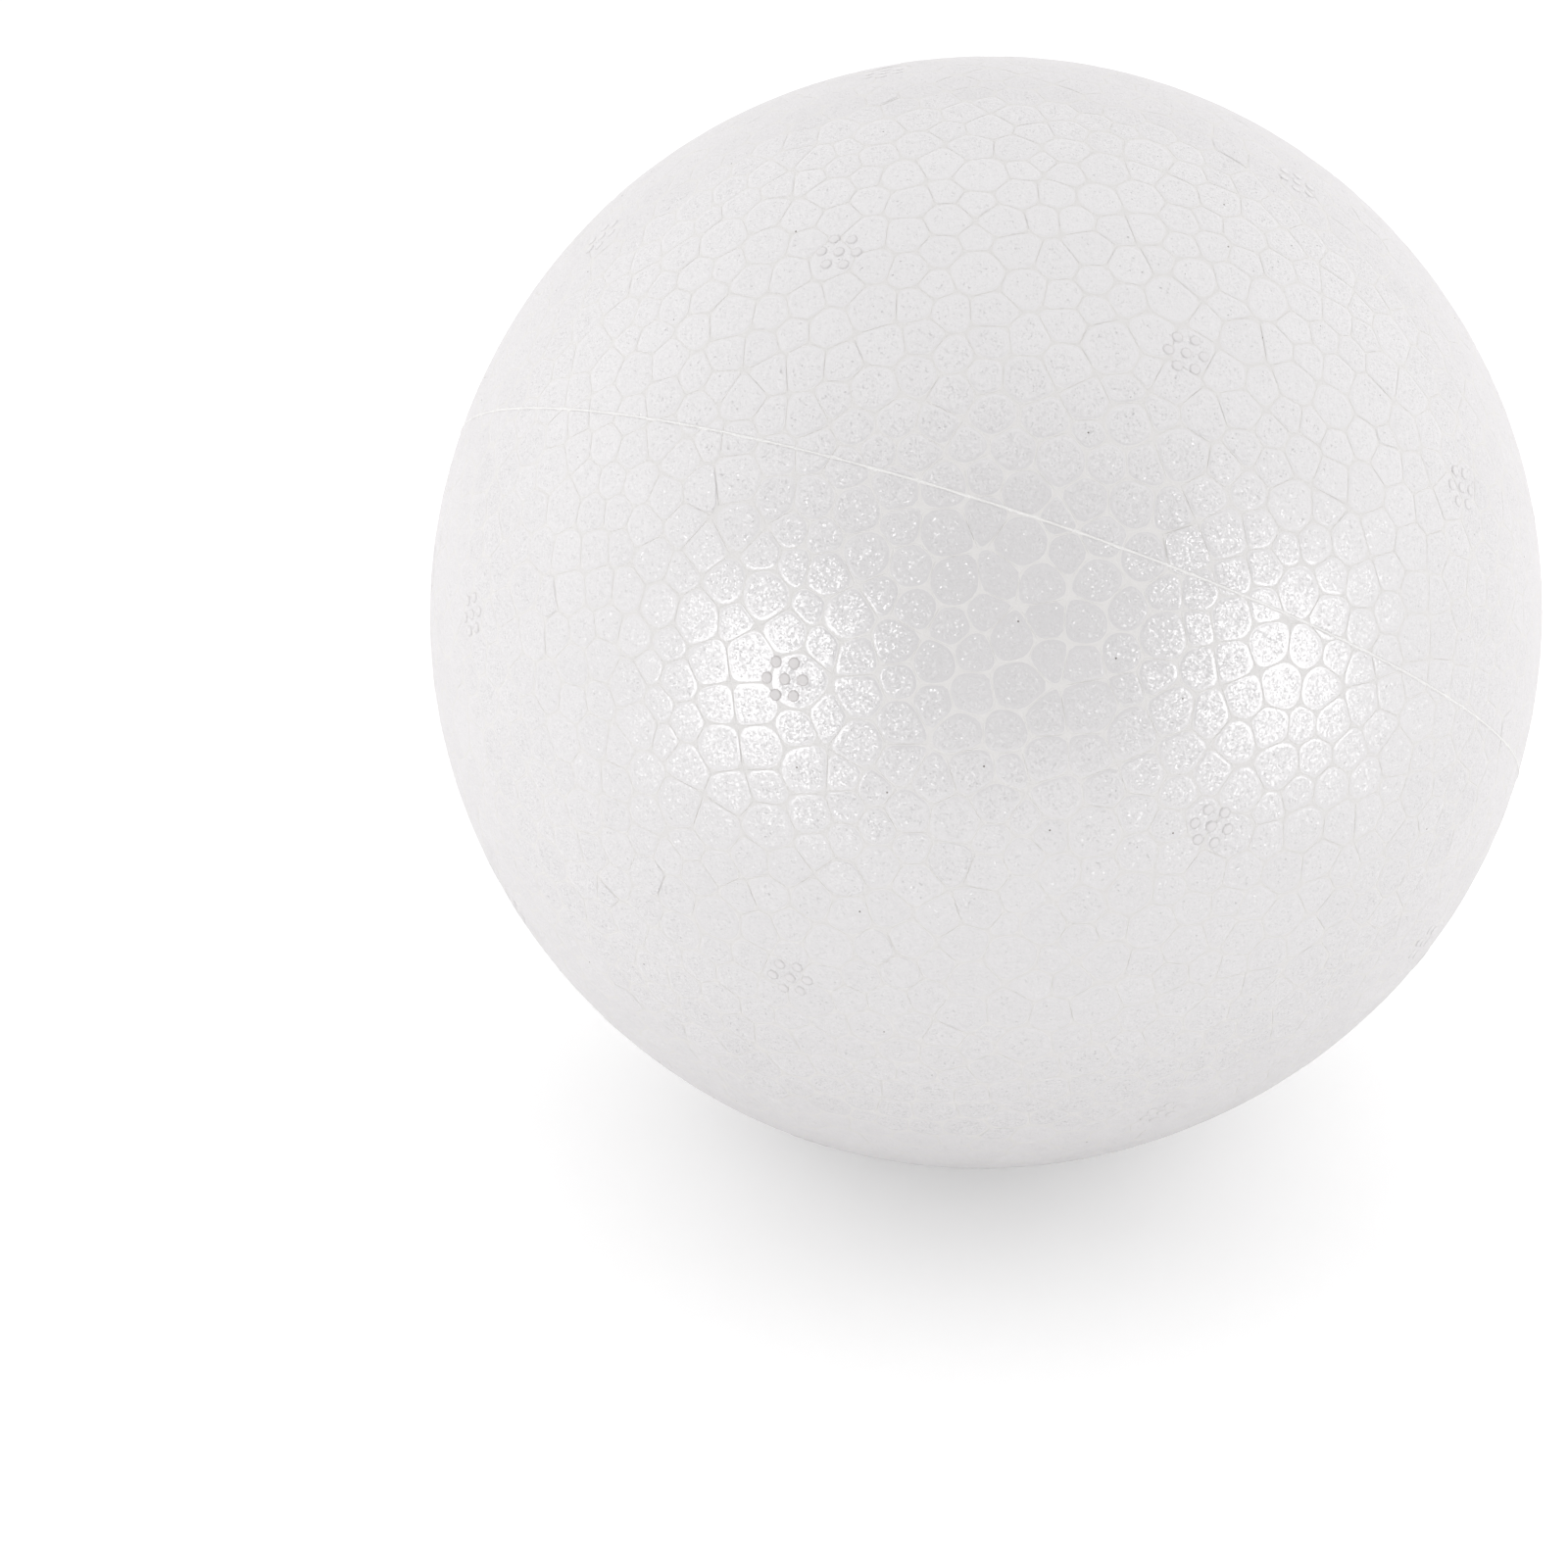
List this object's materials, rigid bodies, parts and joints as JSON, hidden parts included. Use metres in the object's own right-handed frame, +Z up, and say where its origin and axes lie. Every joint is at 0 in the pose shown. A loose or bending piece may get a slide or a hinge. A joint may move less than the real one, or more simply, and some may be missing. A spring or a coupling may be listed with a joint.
{
  "type": "polystyrene ball",
  "caption": "Solid moulded foam craft ball with a skin of pressed beads, sunk joints between them and a fine raised mould line round it.",
  "frame": {"origin": "centre of the ball", "axes": "+Z up as the ball is shown, -Y towards the viewer; the mould's parting plane is tilted, its normal leaning back by 34.5 degrees and to the right by 22.5 degrees"},
  "size_m": [0.0998, 0.0996, 0.0999],
  "materials": {
    "polystyrene_foam": "white expanded polystyrene, as moulded: satin bead faces with duller, slightly sunk joints"
  },
  "bodies": {
    "root": {"foam_ball": "polystyrene_foam"}
  },
  "joints": []
}
